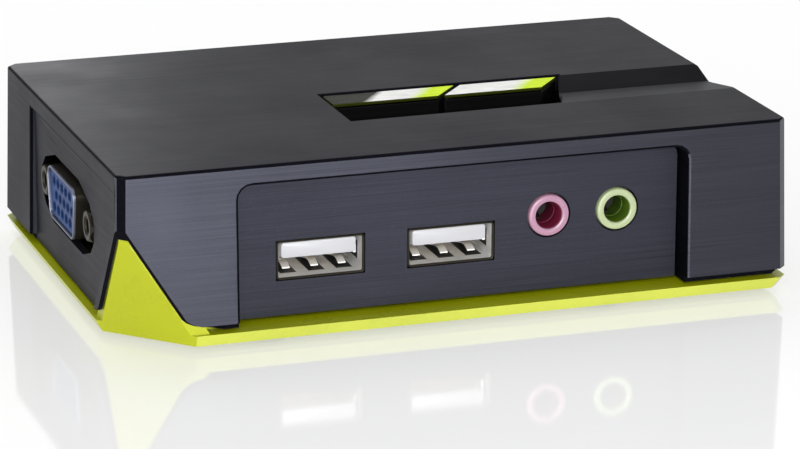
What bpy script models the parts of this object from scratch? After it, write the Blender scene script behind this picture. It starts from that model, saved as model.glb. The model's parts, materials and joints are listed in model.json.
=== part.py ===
"""Two-port desktop KVM switch, about 101 x 68 x 26.5 mm.

A black casing stands on a lime tray whose front left corner rises through the casing as a
slanted facet. Console sockets sit in the front and left faces, computer sockets in the rear
and right faces, and two sprung select keys lie in a slot in the top.

Frame: +X right, +Y back, +Z up, origin on the desk under the centre. Lengths are in
millimetres here, and each mesh is scaled to metres as it becomes an object.
"""

import math

import bmesh
import bpy
from mathutils import Matrix, Vector

MM = 0.001
SHARP_DEG = 35.0

# Overall shape: the side faces lean out by DRAFT from the top down to the lip of the tray.
TOP_Z = 26.5
LIP_Z = 2.8
TOP_HALF_X = 50.0
TOP_HALF_Y = 33.25
DRAFT = 0.57
CORNER = 1.2
TOP_ROUND = 0.4
ROUND_STEPS = 3

# Clearance between pieces that touch on the real object.
GAP = 0.3

# Casing: its lowest part steps in above the lip, which leaves a shadow line all round.
CASING_BOTTOM = 4.0
STEP_BOTTOM = 3.1
STEP_INSET = 1.0
TOP_WALL = 2.4
CEILING = TOP_Z - TOP_WALL
CAVITY_X = 48.2
CAVITY_Y = 31.4
FRAME_DEPTH_Y = -28.2
FRAME_RIM = 2.2
OPENING_TOP = 23.5

# Tray.
TRAY_BOTTOM = 0.9
LIP_SLOPE = 1.0
TONGUE_OUTER = (47.9, 30.9)
TONGUE_WALL = 1.2
TONGUE_TOP = 5.4

# Corner facet: a plane that cuts the front left corner.
FACET_APEX_Z = 20.5
FACET_RUN_X = 11.4
FACET_RUN_Y = 11.8
FACET_FILLET = 2.5
FILLET_STEPS = 4
FACET_RIM = 0.45
FACET_GAP = 0.25
FACET_PLATE = 1.8

# Panels: each plate's outer face, thickness, and its opening in the casing. The left face has
# a shallow recess in place of a plate.
PANEL = 1.2
FRONT_OPENING = (-32.75, 34.6)
FRONT_OPENING_TOP = 23.65
FRONT_CORNER_RADIUS = 2.0
FRONT_PANEL_Y = -29.9
FRONT_PANEL_BOTTOM = 3.25
LEFT_RECESS = (-31.6, 17.5)
LEFT_RECESS_X = -49.45
LEFT_RECESS_BORDER = 1.3
RIGHT_OPENING = (-25.5, 16.5)
REAR_OPENING = (-47.2, 47.2)
SIDE_PANEL_X = 49.45
REAR_PANEL_Y = 32.4
PANEL_BOTTOM = 4.3

# Main board.
BOARD_X = (-43.8, 46.5)
BOARD_Y = (-27.6, 26.9)
BOARD_Z = (6.1, 7.7)
BOARD_CORNER = 3.5
MOUNTED_Z = BOARD_Z[1] + GAP

# Fasteners and feet.
SCREWS = ((-40.0, -22.0), (33.7, -24.0), (-32.0, 14.0), (33.0, 12.0))
SCREW_RADIUS = 1.0
SCREW_HEAD_RADIUS = 2.1
SCREW_HEAD = 0.8
SCREW_TOP = 17.0
BOSS_RADIUS = 2.3
FEET = ((-27.0, -25.0), (24.0, -25.0), (-40.0, 25.0), (40.0, 25.0))
FOOT_RADIUS = 3.5
FOOT_RECESS = 0.4

# Slot in the top, and the shallow V groove that runs from it to the right edge.
SLOT = ((-10.15, -14.6), (22.3, -14.6), (27.4, 0.8), (-10.15, 0.8))
GROOVE_START_X = 21.5
GROOVE_REAR = (0.5, 0.0)
GROOVE_VALLEY = (-4.6, -1.4)
GROOVE_STEP = (-6.7, -1.14)
GROOVE_FRONT = (-14.7, 0.0)

# Select keys.
KEY_LEFT_X = -9.8
KEY_SPLIT_X = 10.7
KEY_RIGHT_X = 27.0
KEY_SPACE = 0.95
KEY_REAR_Y = 0.5
KEY_FRONT_Y = -4.5
KEY_SLANT = 0.83
LENS_Z = (25.8, 26.3)
KEY_Z = (20.9, LENS_Z[0] - 0.2)
KEY_TRAVEL = 0.7
STEM_RADIUS = 1.6
STEM_X = (-3.0, 14.5)
LIGHT_X = (3.5, 20.0)
KEY_AXIS_Y = -2.0
LIGHT_CHANNEL_RADIUS = 1.3
WELL_MARGIN = 1.5
WELL_FLOOR = (18.6, 19.8)
SWITCH_SIZE = 6.0
SWITCH_TOP = 11.5
PLUNGER_RADIUS = 1.7
PLUNGER_Z = (9.9, 13.0)
PLUNGER_SPACE = 0.2
LED_RADIUS = 1.45
LED_TOP = 18.2

# USB-A sockets: centre height, positions, shell.
USB_A_Z = 11.3
USB_A_X = (-19.8, -0.3)
USB_A_SIZE = (13.1, 5.8)
USB_A_WALL = 0.35
USB_A_LENGTH = 14.0
USB_A_TONGUE = (11.1, 2.3)
USB_A_TONGUE_SPACE = 0.25
USB_A_TONGUE_FRONT = 0.9

# Audio jacks.
JACK_Z = 14.3
FRONT_JACK_X = (14.5, 25.0)
SIDE_JACK_Y = (-21.0, -10.0, 1.0, 12.0)
JACK_BUSHING_RADIUS = 3.05
JACK_HOLE_RADIUS = 1.8
JACK_PROUD = 0.25
JACK_BODY = (10.0, 11.0, 11.2)

# Fifteen-way display sockets.
VGA_Z = 14.3
VGA_FLANGE = (30.8, 12.5, 0.8)
VGA_SHELL = (16.33, 7.9)
VGA_REACH = 5.9
VGA_SLANT_DEG = 10.0
VGA_CORNER = 1.6
VGA_SHELL_WALL = 0.4
VGA_BODY = (24.0, 11.0, 8.0)
VGA_SCREW_SPACING = 25.0
VGA_HEX_RADIUS = 2.5
VGA_HEX_LENGTH = 5.0
VGA_PIN_PITCH = 2.29
VGA_ROW_PITCH = 1.98
VGA_PIN_RADIUS = 0.6
VGA_PIN_DEPTH = 3.0
VGA_CUTOUT = ((-15.3, -1.8), (-13.4, -3.8), (-8.6, -5.4), (8.6, -5.4), (13.4, -3.8), (15.3, -1.8),
              (15.3, 1.4), (13.2, 3.4), (7.0, 5.3), (-7.0, 5.3), (-13.2, 3.4), (-15.3, 1.4))
CONSOLE_VGA_Y = -2.0
CONSOLE_VGA_FACE_X = -50.5
REAR_FACE_Y = 33.6
REAR_VGA_X = (-30.4, 16.3)

# USB-B sockets.
USB_B_X = (-7.3, 39.4)
USB_B_SIZE = (12.0, 10.8, 16.0)
USB_B_MOUTH = (8.45, 7.78)
USB_B_MOUTH_CUT = 1.7
USB_B_MOUTH_DEPTH = 9.5
USB_B_TONGUE = (5.6, 3.2, 8.0)

# Chip on the main board.
CHIP_CENTRE = (-17.0, 1.0)
CHIP_SIZE = 14.0
CHIP_HEIGHT = 1.5

COLOURS = {
    "casing_black": ((0.085, 0.085, 0.100), 0.42, 0.0),
    "panel_black": ((0.055, 0.057, 0.075), 0.45, 0.0),
    "lime": ((0.62, 0.68, 0.04), 0.35, 0.0),
    "lens_lime": ((0.72, 0.80, 0.25), 0.15, 0.0),
    "key_black": ((0.02, 0.02, 0.02), 0.4, 0.0),
    "steel": ((0.72, 0.72, 0.72), 0.28, 1.0),
    "white_plastic": ((0.86, 0.86, 0.84), 0.4, 0.0),
    "blue_plastic": ((0.04, 0.13, 0.45), 0.4, 0.0),
    "black_plastic": ((0.02, 0.02, 0.02), 0.5, 0.0),
    "pink_plastic": ((0.80, 0.30, 0.52), 0.35, 0.0),
    "green_plastic": ((0.58, 0.78, 0.30), 0.35, 0.0),
    "board_green": ((0.01, 0.09, 0.03), 0.5, 0.0),
    "rubber": ((0.03, 0.03, 0.03), 0.85, 0.0),
    "led_white": ((0.85, 0.88, 0.85), 0.2, 0.0),
}


# Mesh tools --------------------------------------------------------------------------------


def at(axis, u, v, along):
    """A point from its coordinates across an axis: X takes (y, z), Y takes (x, z), Z takes (x, y)."""
    if axis == "X":
        return Vector((along, u, v))
    if axis == "Y":
        return Vector((u, along, v))
    return Vector((u, v, along))


def loft(rings):
    """A closed solid through rings of equally many points."""
    bm = bmesh.new()
    loops = [[bm.verts.new(point) for point in ring] for ring in rings]
    bm.faces.new(loops[0])
    bm.faces.new(loops[-1])
    for low, high in zip(loops, loops[1:]):
        for i, vert in enumerate(low):
            j = (i + 1) % len(low)
            bm.faces.new((vert, low[j], high[j], high[i]))
    bmesh.ops.recalc_face_normals(bm, faces=bm.faces)
    return bm


def prism(outline, low, high, axis="Z"):
    return loft([[at(axis, u, v, along) for u, v in outline] for along in (low, high)])


def box(x, y, z):
    return prism(rectangle(*x, *y), *z)


def tube(outer, inner, low, high, axis="Z"):
    """A closed solid between two outlines of equally many points."""
    rings = [[at(axis, u, v, along) for u, v in outline]
             for outline, along in ((outer, low), (outer, high), (inner, high), (inner, low))]
    bm = bmesh.new()
    loops = [[bm.verts.new(point) for point in ring] for ring in rings]
    for first, second in zip(loops, loops[1:] + loops[:1]):
        for i, vert in enumerate(first):
            j = (i + 1) % len(first)
            bm.faces.new((vert, first[j], second[j], second[i]))
    bmesh.ops.recalc_face_normals(bm, faces=bm.faces)
    return bm


def cup(outer, inner, low, floor, high, axis="Z"):
    """A closed solid with a pocket from its high end down to the floor."""
    return loft([[at(axis, u, v, along) for u, v in outline]
                 for outline, along in ((outer, low), (outer, high), (inner, high), (inner, floor))])


def rectangle(u0, u1, v0, v1):
    return [(u0, v0), (u1, v0), (u1, v1), (u0, v1)]


def centred(width, height, u=0.0, v=0.0):
    return rectangle(u - width / 2, u + width / 2, v - height / 2, v + height / 2)


def circle(radius, sides, u=0.0, v=0.0):
    turns = [2 * math.pi * (i + 0.5) / sides for i in range(sides)]
    return [(u + radius * math.cos(turn), v + radius * math.sin(turn)) for turn in turns]


def rounded(corners, radii, steps=3):
    """A convex outline with each corner turned into an arc of its own radius."""
    points = []
    for i, corner in enumerate(corners):
        here = Vector(corner)
        before = (Vector(corners[i - 1]) - here).normalized()
        after = (Vector(corners[(i + 1) % len(corners)]) - here).normalized()
        if radii[i] == 0:
            points.append(corner)
            continue
        half = before.angle(after) / 2
        centre = here + (before + after).normalized() * radii[i] / math.sin(half)
        start = here + before * radii[i] / math.tan(half) - centre
        end = here + after * radii[i] / math.tan(half) - centre
        sweep = start.angle_signed(end)
        for step in range(steps + 1):
            arm = start.copy()
            arm.rotate(Matrix.Rotation(-sweep * step / steps, 2))
            points.append(tuple(centre + arm))
    return points


def clip(bm, point, normal):
    """Cuts away the side that the normal points to, and closes the cut."""
    bmesh.ops.bisect_plane(bm, geom=bm.verts[:] + bm.edges[:] + bm.faces[:], dist=1e-6,
                           plane_co=point, plane_no=normal, clear_outer=True)
    bmesh.ops.holes_fill(bm, edges=[edge for edge in bm.edges if edge.is_boundary], sides=0)
    bmesh.ops.recalc_face_normals(bm, faces=bm.faces)
    return bm


def merge(*meshes):
    """One mesh that holds several separate bodies, for use as a cutter."""
    joined = bmesh.new()
    for bm in meshes:
        scratch = bpy.data.meshes.new("scratch")
        bm.to_mesh(scratch)
        joined.from_mesh(scratch)
        bpy.data.meshes.remove(scratch)
        bm.free()
    return joined


def half_size(z):
    lean = DRAFT * (TOP_Z - z) / (TOP_Z - LIP_Z)
    return TOP_HALF_X + lean, TOP_HALF_Y + lean


def block_ring(z, inset=0.0, corner=CORNER):
    """The body's outline at a height, with its four vertical edges chamfered."""
    x, y = (half - inset for half in half_size(z))
    return [Vector((u, v, z)) for u, v in (
        (x - corner, -y), (x, -y + corner), (x, y - corner), (x - corner, y),
        (-x + corner, y), (-x, y - corner), (-x, -y + corner), (-x + corner, -y))]


def facet_plane(depth=0.0):
    """A point on the facet's plane moved inward by a depth, and the plane's outward normal."""
    apex_x, apex_y = half_size(FACET_APEX_Z)
    foot_x, foot_y = half_size(LIP_Z)
    apex = Vector((-apex_x, -apex_y, FACET_APEX_Z))
    left = Vector((-foot_x, -foot_y + FACET_RUN_Y, LIP_Z))
    front = Vector((-foot_x + FACET_RUN_X, -foot_y, LIP_Z))
    normal = (left - apex).cross(front - apex).normalized()
    if normal.z > 0:
        normal.negate()
    return apex - normal * depth, normal


def facet_fillet():
    """Planes that round the casing's edge between the facet and its underside."""
    point, normal = facet_plane()
    level = CASING_BOTTOM + FACET_FILLET
    across = Vector((normal.x, normal.y, 0.0))
    reach = (-FACET_FILLET - normal.z * (level - point.z)) / across.length
    centre = Vector((point.x, point.y, level)) + across.normalized() * reach
    down = Vector((0.0, 0.0, -1.0))
    turned = [down.slerp(normal, step / FILLET_STEPS) for step in range(1, FILLET_STEPS)]
    return [(centre + facing * FACET_FILLET, facing) for facing in turned]


# Objects -----------------------------------------------------------------------------------


def material(name):
    found = bpy.data.materials.get(name)
    if found:
        return found
    colour, roughness, metallic = COLOURS[name]
    made = bpy.data.materials.new(name)
    made.use_nodes = True
    shader = made.node_tree.nodes["Principled BSDF"]
    shader.inputs["Base Color"].default_value = (*colour, 1.0)
    shader.inputs["Roughness"].default_value = roughness
    shader.inputs["Metallic"].default_value = metallic
    made.diffuse_color = (*colour, 1.0)
    return made


def mesh_of(name, bm):
    bmesh.ops.transform(bm, matrix=Matrix.Scale(MM, 4), verts=bm.verts)
    mesh = bpy.data.meshes.new(name)
    bm.to_mesh(mesh)
    bm.free()
    mesh.shade_smooth()
    mesh.set_sharp_from_angle(angle=math.radians(SHARP_DEG))
    return mesh


def piece(name, shape, material_name, place=(0.0, 0.0, 0.0), turn_deg=0.0):
    """A named object from a mesh in millimetres or from another object's mesh."""
    mesh = shape if isinstance(shape, bpy.types.Mesh) else mesh_of(name, shape)
    made = bpy.data.objects.new(name, mesh)
    made.location = Vector(place) * MM
    made.rotation_euler = (0.0, 0.0, math.radians(turn_deg))
    if not mesh.materials:
        mesh.materials.append(material(material_name))
    bpy.context.scene.collection.objects.link(made)
    return made


def boolean(target, bm, operation="DIFFERENCE"):
    """Cuts a mesh from a piece, or joins it on, as a modifier that stays on the piece."""
    count = len(target.modifiers)
    helper = bpy.data.objects.new(f"{target.name}_helper_{count}", mesh_of("helper", bm))
    helper.hide_render = True
    helper.display_type = "WIRE"
    helper.matrix_world = target.matrix_basis
    bpy.context.scene.collection.objects.link(helper)
    step = target.modifiers.new(f"step_{count}", "BOOLEAN")
    step.operation = operation
    step.solver = "EXACT"
    step.object = helper


# Casing and tray ---------------------------------------------------------------------------


def casing():
    rings = [block_ring(STEP_BOTTOM, STEP_INSET), block_ring(CASING_BOTTOM, STEP_INSET),
             block_ring(CASING_BOTTOM)]
    for step in range(ROUND_STEPS + 1):
        turn = math.pi / 2 * step / ROUND_STEPS
        z = TOP_Z - TOP_ROUND * (1 - math.sin(turn))
        rings.append(block_ring(z, TOP_ROUND * (1 - math.cos(turn))))
    outside = clip(loft(rings), *facet_plane())
    for point, normal in facet_fillet():
        clip(outside, point, normal)
    shell = piece("upper_casing", outside, "casing_black")

    below = STEP_BOTTOM - 1
    boolean(shell, box((-CAVITY_X, CAVITY_X), (FRAME_DEPTH_Y, CAVITY_Y), (below, CEILING)))
    frame_x = (FRONT_OPENING[0] - FRAME_RIM, FRONT_OPENING[1] + FRAME_RIM)
    for side_x in ((-CAVITY_X, frame_x[0]), (frame_x[1], CAVITY_X)):
        boolean(shell, box(side_x, (-CAVITY_Y, FRAME_DEPTH_Y + 1), (below, CEILING)))

    front = rounded(rectangle(*FRONT_OPENING, below, FRONT_OPENING_TOP),
                    (0, 0, FRONT_CORNER_RADIUS, FRONT_CORNER_RADIUS), steps=4)
    boolean(shell, prism(front, -TOP_HALF_Y - 3, FRAME_DEPTH_Y + 1, "Y"))
    rear = rectangle(*REAR_OPENING, below, OPENING_TOP)
    boolean(shell, prism(rear, CAVITY_Y - 1, TOP_HALF_Y + 3, "Y"))
    right = rectangle(*RIGHT_OPENING, below, OPENING_TOP)
    boolean(shell, prism(right, CAVITY_X - 1, TOP_HALF_X + 3, "X"))
    recess = prism(rectangle(*LEFT_RECESS, below, OPENING_TOP), -TOP_HALF_X - 3, LEFT_RECESS_X, "X")
    boolean(shell, clip(recess, *facet_plane(LEFT_RECESS_BORDER)))
    cutout = [(u + CONSOLE_VGA_Y, v + VGA_Z) for u, v in VGA_CUTOUT]
    boolean(shell, prism(cutout, -TOP_HALF_X - 3, 1 - CAVITY_X, "X"))

    boolean(shell, prism(SLOT, CEILING - 1, TOP_Z + 1))
    boolean(shell, groove())
    pocket = loft([block_ring(z, FACET_RIM) for z in (below, TOP_Z - 2)])
    point, normal = facet_plane(FACET_PLATE + GAP)
    boolean(shell, clip(pocket, point, -normal))

    for x, y in SCREWS:
        boolean(shell, prism(circle(BOSS_RADIUS, 12, x, y), MOUNTED_Z, CEILING + 1), "UNION")
        hole = circle(SCREW_RADIUS + GAP, 12, x, y)
        boolean(shell, prism(hole, MOUNTED_Z - 1, SCREW_TOP + GAP))


def groove():
    """The V groove's space, its two slopes carried on above the top face."""
    above = 0.5
    rear_slope = (GROOVE_REAR[0] - GROOVE_VALLEY[0]) / (GROOVE_REAR[1] - GROOVE_VALLEY[1])
    front_slope = (GROOVE_FRONT[0] - GROOVE_STEP[0]) / (GROOVE_FRONT[1] - GROOVE_STEP[1])
    profile = ((GROOVE_REAR[0] + above * rear_slope, above), GROOVE_VALLEY, GROOVE_STEP,
               (GROOVE_FRONT[0] + above * front_slope, above))
    outline = [(y, TOP_Z + z) for y, z in profile]
    return prism(outline, GROOVE_START_X, TOP_HALF_X + 3, "X")


def tray():
    plate = loft([block_ring(TRAY_BOTTOM, LIP_SLOPE), block_ring(LIP_Z - 0.1)])
    base = piece("base_tray", clip(plate, *facet_plane()), "lime")

    wedge = loft([block_ring(z, FACET_RIM + FACET_GAP) for z in (LIP_Z - 0.6, TOP_Z - 2)])
    clip(wedge, *facet_plane())
    inner_point, normal = facet_plane(FACET_PLATE)
    boolean(base, clip(wedge, inner_point, -normal), "UNION")

    outer_x, outer_y = TONGUE_OUTER
    tongue = tube(centred(2 * outer_x, 2 * outer_y),
                  centred(2 * (outer_x - TONGUE_WALL), 2 * (outer_y - TONGUE_WALL)),
                  LIP_Z - 0.4, TONGUE_TOP)
    ring = clip(tongue, *facet_plane(FACET_PLATE / 2))
    boolean(base, ring, "UNION")
    frame_x = (FRONT_OPENING[0] - FRAME_RIM - 0.4, FRONT_OPENING[1] + FRAME_RIM + 0.4)
    boolean(base, box(frame_x, (-outer_y - 1, FRAME_DEPTH_Y + 0.4), (LIP_Z - 0.1, TONGUE_TOP + 1)))

    for x, y in SCREWS:
        boss = prism(circle(BOSS_RADIUS + 0.5, 12, x, y), LIP_Z - 0.6, BOARD_Z[0] - GAP)
        boolean(base, boss, "UNION")
        boolean(base, prism(circle(SCREW_RADIUS + GAP, 12, x, y), TRAY_BOTTOM - 1, BOARD_Z[0]))
        recess = circle(SCREW_HEAD_RADIUS + GAP, 12, x, y)
        boolean(base, prism(recess, TRAY_BOTTOM - 1, TRAY_BOTTOM + SCREW_HEAD + 0.2))
    for x, y in FEET:
        recess = circle(FOOT_RADIUS + GAP, 16, x, y)
        boolean(base, prism(recess, TRAY_BOTTOM - 1, TRAY_BOTTOM + FOOT_RECESS))


def fasteners_and_feet():
    for number, (x, y) in enumerate(SCREWS, start=1):
        head = circle(SCREW_HEAD_RADIUS, 12)
        shank = circle(SCREW_RADIUS, 12)
        head_z = (TRAY_BOTTOM + 0.1, TRAY_BOTTOM - 0.1 + SCREW_HEAD)
        rings = ((head, head_z[0]), (head, head_z[1]), (shank, head_z[1]), (shank, SCREW_TOP))
        shape = loft([[at("Z", u, v, z) for u, v in outline] for outline, z in rings])
        piece(f"case_screw_{number}", shape, "steel", (x, y, 0.0))
    for number, (x, y) in enumerate(FEET, start=1):
        top = TRAY_BOTTOM + FOOT_RECESS - GAP
        rings = ((FOOT_RADIUS - 0.3, 0.0), (FOOT_RADIUS, 0.3), (FOOT_RADIUS, top))
        shape = loft([[at("Z", u, v, z) for u, v in circle(radius, 16)] for radius, z in rings])
        piece(f"rubber_foot_{number}", shape, "rubber", (x, y, 0.0))


def panels():
    front_x = (FRONT_OPENING[0] + GAP, FRONT_OPENING[1] - GAP)
    radius = FRONT_CORNER_RADIUS - GAP
    outline = rounded(rectangle(*front_x, FRONT_PANEL_BOTTOM, FRONT_OPENING_TOP - GAP),
                      (0, 0, radius, radius), steps=4)
    plate = prism(outline, FRONT_PANEL_Y, FRONT_PANEL_Y + PANEL, "Y")
    front = piece("front_panel", plate, "panel_black")
    through = (FRONT_PANEL_Y - 1, FRONT_PANEL_Y + PANEL + 1)
    for x in USB_A_X:
        hole = centred(USB_A_SIZE[0] + 2 * GAP, USB_A_SIZE[1] + 2 * GAP, x, USB_A_Z)
        boolean(front, prism(hole, *through, "Y"))
    for x in FRONT_JACK_X:
        hole = circle(JACK_BUSHING_RADIUS + GAP, 24, x, JACK_Z)
        boolean(front, prism(hole, *through, "Y"))

    z = (PANEL_BOTTOM, OPENING_TOP - GAP)
    right_y = (RIGHT_OPENING[0] + GAP, RIGHT_OPENING[1] - GAP)
    right_x = (SIDE_PANEL_X - PANEL, SIDE_PANEL_X)
    right = piece("right_panel", prism(rectangle(*right_y, *z), *right_x, "X"), "panel_black")
    for y in SIDE_JACK_Y:
        hole = circle(JACK_BUSHING_RADIUS + GAP, 16, y, JACK_Z)
        boolean(right, prism(hole, right_x[0] - 1, right_x[1] + 1, "X"))

    rear_x = (REAR_OPENING[0] + GAP, REAR_OPENING[1] - GAP)
    rear_y = (REAR_PANEL_Y - PANEL, REAR_PANEL_Y)
    rear = piece("rear_panel", prism(rectangle(*rear_x, *z), *rear_y, "Y"), "panel_black")
    for x in REAR_VGA_X:
        cutout = [(u + x, v + VGA_Z) for u, v in VGA_CUTOUT]
        boolean(rear, prism(cutout, rear_y[0] - 1, rear_y[1] + 1, "Y"))
    for x in USB_B_X:
        hole = centred(USB_B_SIZE[0] + 2 * GAP, USB_B_SIZE[1] + 2 * GAP, x, usb_b_z())
        boolean(rear, prism(hole, rear_y[0] - 1, rear_y[1] + 1, "Y"))


def main_board():
    outline = rounded(rectangle(*BOARD_X, *BOARD_Y), (BOARD_CORNER, 0, 0, 0), steps=1)
    board = piece("main_board", prism(outline, *BOARD_Z), "board_green")
    for x, y in SCREWS:
        hole = circle(SCREW_RADIUS + GAP, 12, x, y)
        boolean(board, prism(hole, BOARD_Z[0] - 1, BOARD_Z[1] + 1))
    chip = centred(CHIP_SIZE, CHIP_SIZE, *CHIP_CENTRE)
    piece("video_switch_chip", prism(chip, MOUNTED_Z, MOUNTED_Z + CHIP_HEIGHT), "black_plastic")


# Keys --------------------------------------------------------------------------------------


def key_outline(rear_left, rear_right, slanted_left):
    """A key seen from above: its slanted ends run forward and to the left."""
    shift = KEY_SLANT * (KEY_REAR_Y - KEY_FRONT_Y)
    front_left = rear_left - shift if slanted_left else rear_left
    return ((front_left, KEY_FRONT_Y), (rear_right - shift, KEY_FRONT_Y),
            (rear_right, KEY_REAR_Y), (rear_left, KEY_REAR_Y))


def keys():
    spans = ((KEY_LEFT_X, KEY_SPLIT_X, False), (KEY_SPLIT_X + KEY_SPACE, KEY_RIGHT_X, True))
    for letter, span, stem_x, light_x in zip("ab", spans, STEM_X, LIGHT_X):
        place = (stem_x, KEY_AXIS_Y, 0.0)
        outline = [(x - stem_x, y - KEY_AXIS_Y) for x, y in key_outline(*span)]
        piece(f"key_lens_{letter}", prism(outline, *LENS_Z), "lens_lime", place)
        key = piece(f"select_key_{letter}", prism(outline, *KEY_Z), "key_black", place)
        stem = circle(STEM_RADIUS, 12)
        boolean(key, prism(stem, PLUNGER_Z[1] + GAP, KEY_Z[0] + 1), "UNION")
        channel = circle(LIGHT_CHANNEL_RADIUS, 12, light_x - stem_x)
        boolean(key, prism(channel, KEY_Z[0] - 1, KEY_Z[1] + 1))

        body = prism(centred(SWITCH_SIZE, SWITCH_SIZE), MOUNTED_Z, SWITCH_TOP)
        switch = piece(f"tact_switch_{letter}", body, "black_plastic", place)
        hole_floor = PLUNGER_Z[0] - KEY_TRAVEL - PLUNGER_SPACE
        boolean(switch, prism(circle(PLUNGER_RADIUS + GAP, 12), hole_floor, SWITCH_TOP + 1))
        plunger = prism(circle(PLUNGER_RADIUS, 12), *PLUNGER_Z)
        piece(f"switch_plunger_{letter}", plunger, "white_plastic", place)

        levels = ((LED_RADIUS, MOUNTED_Z), (LED_RADIUS, LED_TOP - LED_RADIUS),
                  (LED_RADIUS * 0.8, LED_TOP - LED_RADIUS * 0.4), (LED_RADIUS * 0.3, LED_TOP))
        rings = [[at("Z", u, v, z) for u, v in circle(radius, 12)] for radius, z in levels]
        piece(f"led_{letter}", loft(rings), "led_white", (light_x, KEY_AXIS_Y, 0.0))


def key_well():
    """An open box under the slot that keeps the keys in line."""
    x = (SLOT[0][0] - WELL_MARGIN, SLOT[2][0] + WELL_MARGIN)
    y = (SLOT[0][1] - WELL_MARGIN, SLOT[2][1] + WELL_MARGIN)
    wall = WELL_MARGIN - GAP
    inner = rectangle(x[0] + wall, x[1] - wall, y[0] + wall, y[1] - wall)
    shape = cup(rectangle(*x, *y), inner, WELL_FLOOR[0], WELL_FLOOR[1], CEILING - GAP)
    well = piece("key_well", shape, "key_black")
    for hole_x, radius in zip(STEM_X + LIGHT_X, (STEM_RADIUS,) * 2 + (LED_RADIUS,) * 2):
        hole = circle(radius + GAP, 12, hole_x, KEY_AXIS_Y)
        boolean(well, prism(hole, WELL_FLOOR[0] - 1, WELL_FLOOR[1] + 0.5))


# Sockets: each is built facing -Y, with its mouth at y = 0 and its centre on the axis ----------


def usb_a_meshes():
    outer = rounded(centred(*USB_A_SIZE), (0.6,) * 4, steps=2)
    inside = [side - 2 * USB_A_WALL for side in USB_A_SIZE]
    inner = rounded(centred(*inside), (0.3,) * 4, steps=2)
    shell = cup(outer, inner, USB_A_LENGTH, USB_A_LENGTH - 1, 0.0, "Y")
    width, height = USB_A_TONGUE
    top = inside[1] / 2 - USB_A_TONGUE_SPACE
    block = rectangle(-width / 2, width / 2, top - height, top)
    tongue = prism(block, USB_A_TONGUE_FRONT, USB_A_LENGTH - 1 - USB_A_TONGUE_SPACE, "Y")
    return mesh_of("usb_a_shell", shell), mesh_of("usb_a_tongue", tongue)


def usb_a_sockets():
    shell, tongue = usb_a_meshes()
    for use, x in zip(("keyboard", "mouse"), USB_A_X):
        place = (x, FRONT_PANEL_Y, USB_A_Z)
        piece(f"{use}_usb_shell", shell, "steel", place)
        piece(f"{use}_usb_tongue", tongue, "white_plastic", place)


def jack(name, place, turn_deg, colour):
    """A 3.5 mm socket: a coloured bushing in the panel and a black body on the board."""
    depth = PANEL + 2 * GAP
    bushing = tube(circle(JACK_BUSHING_RADIUS, 24), circle(JACK_HOLE_RADIUS, 24),
                   -JACK_PROUD, depth, "Y")
    piece(f"{name}_bushing", bushing, colour, place, turn_deg)
    width, length, height = JACK_BODY
    bottom = MOUNTED_Z - place[2]
    outline = rectangle(-width / 2, width / 2, bottom, bottom + height)
    body = prism(outline, depth + GAP, depth + GAP + length, "Y")
    made = piece(f"{name}_body", body, "black_plastic", place, turn_deg)
    boolean(made, prism(circle(JACK_HOLE_RADIUS + 0.2, 16), 0.0, depth + GAP + length - 1, "Y"))


def jacks():
    for use, x, colour in zip(("microphone_jack", "speaker_jack"), FRONT_JACK_X,
                              ("pink_plastic", "green_plastic")):
        jack(use, (x, FRONT_PANEL_Y, JACK_Z), 0.0, colour)
    names = ("pc_a_microphone_jack", "pc_a_speaker_jack", "pc_b_microphone_jack",
             "pc_b_speaker_jack")
    for name, y in zip(names, SIDE_JACK_Y):
        colour = "pink_plastic" if "microphone" in name else "green_plastic"
        jack(name, (SIDE_PANEL_X, y, JACK_Z), 90.0, colour)


def d_outline(inset=0.0):
    """The display socket's D, wide side up."""
    half_width = VGA_SHELL[0] / 2 - inset
    half_height = VGA_SHELL[1] / 2 - inset
    lean = 2 * half_height * math.tan(math.radians(VGA_SLANT_DEG))
    corners = ((lean - half_width, -half_height), (half_width - lean, -half_height),
               (half_width, half_height), (-half_width, half_height))
    return rounded(corners, (VGA_CORNER - inset,) * 4, steps=4)


def vga_meshes():
    width, height, thickness = VGA_FLANGE
    back = VGA_REACH + thickness
    flange = prism(rounded(centred(width, height), (1.5,) * 4, steps=2), VGA_REACH, back, "Y")
    reach = prism(d_outline(), 0.0, VGA_REACH + 0.3, "Y")
    hollow = prism(d_outline(VGA_SHELL_WALL), -1.0, back + 1, "Y")

    width, height, depth = VGA_BODY
    bottom = MOUNTED_Z - VGA_Z
    body = prism(rectangle(-width / 2, width / 2, bottom, bottom + height),
                 back + GAP, back + GAP + depth, "Y")
    core = prism(d_outline(VGA_SHELL_WALL + 0.2), 0.4, back + 2 * GAP, "Y")
    pins = []
    for row in (-1, 0, 1):
        shift = VGA_PIN_PITCH / 2 if row == 0 else 0.0
        for column in range(-2, 3):
            centre = (column * VGA_PIN_PITCH + shift - VGA_PIN_PITCH / 4, row * VGA_ROW_PITCH)
            pins.append(prism(circle(VGA_PIN_RADIUS, 8, *centre), -1.0, VGA_PIN_DEPTH, "Y"))
    return (flange, reach, hollow), (body, core, merge(*pins))


def hexagon_screw():
    return prism(circle(VGA_HEX_RADIUS, 6), VGA_REACH - 0.2 - VGA_HEX_LENGTH, VGA_REACH - 0.2, "Y")


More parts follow.
